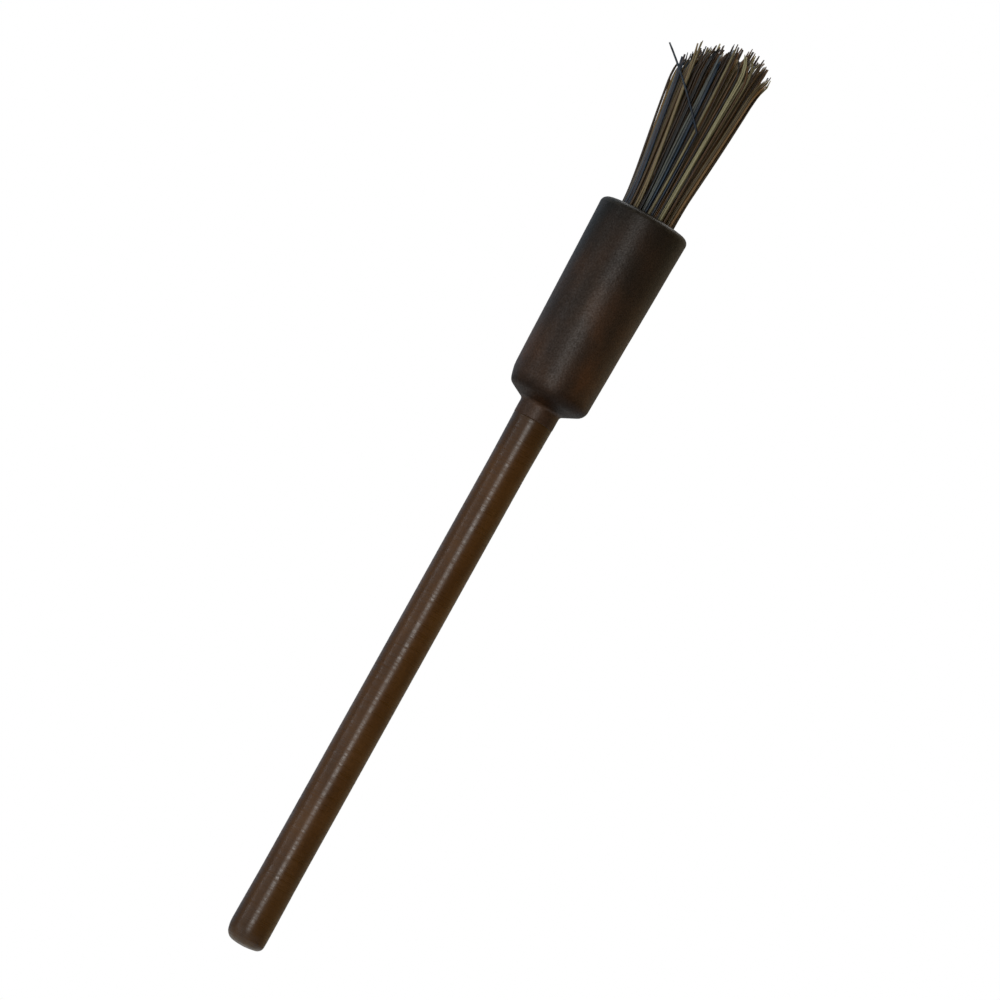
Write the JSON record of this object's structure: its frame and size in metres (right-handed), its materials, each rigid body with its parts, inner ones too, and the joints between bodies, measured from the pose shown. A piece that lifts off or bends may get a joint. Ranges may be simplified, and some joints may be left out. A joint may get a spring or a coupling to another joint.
{
  "type": "end brush",
  "caption": "Small end brush for cleaning tips: a round shank with a rounded tail, a tapered cup and a flared tuft of fine dark bristles.",
  "frame": {"origin": "on the shank's axis, where its full diameter starts just above the rounded tail", "axes": "+Z along the shank towards the tuft; the stray bristle is on the -Y side and leans towards -X"},
  "size_m": [0.0083, 0.0071, 0.075],
  "materials": {
    "bronzed_shank": "turned and bronzed dark brown, semi-gloss",
    "bronzed_cup": "blasted and bronzed dark brown, satin",
    "bare_brass": "stamped, bare",
    "amber_resin": "cast, clear amber",
    "bristle_black": "tarnished almost black, satin",
    "bristle_umber": "tarnished dark brown, satin",
    "bristle_bronze": "tarnished mid brown, satin",
    "bristle_straw": "worn to a dull straw colour, satin",
    "bristle_slate": "tarnished blue grey, satin"
  },
  "bodies": {
    "root": {"shank": "bronzed_shank", "cup": "bronzed_cup", "washer": "bare_brass", "resin_bed": "amber_resin", "stray_bristle": "bristle_slate", "core_black_bristles": "bristle_black", "core_umber_bristles": "bristle_umber", "core_bronze_bristles": "bristle_bronze", "core_straw_bristles": "bristle_straw", "core_slate_bristles": "bristle_slate", "middle_black_bristles": "bristle_black", "middle_umber_bristles": "bristle_umber", "middle_bronze_bristles": "bristle_bronze", "middle_straw_bristles": "bristle_straw", "middle_slate_bristles": "bristle_slate", "outer_black_bristles": "bristle_black", "outer_umber_bristles": "bristle_umber", "outer_bronze_bristles": "bristle_bronze", "outer_straw_bristles": "bristle_straw", "outer_slate_bristles": "bristle_slate"}
  },
  "joints": []
}
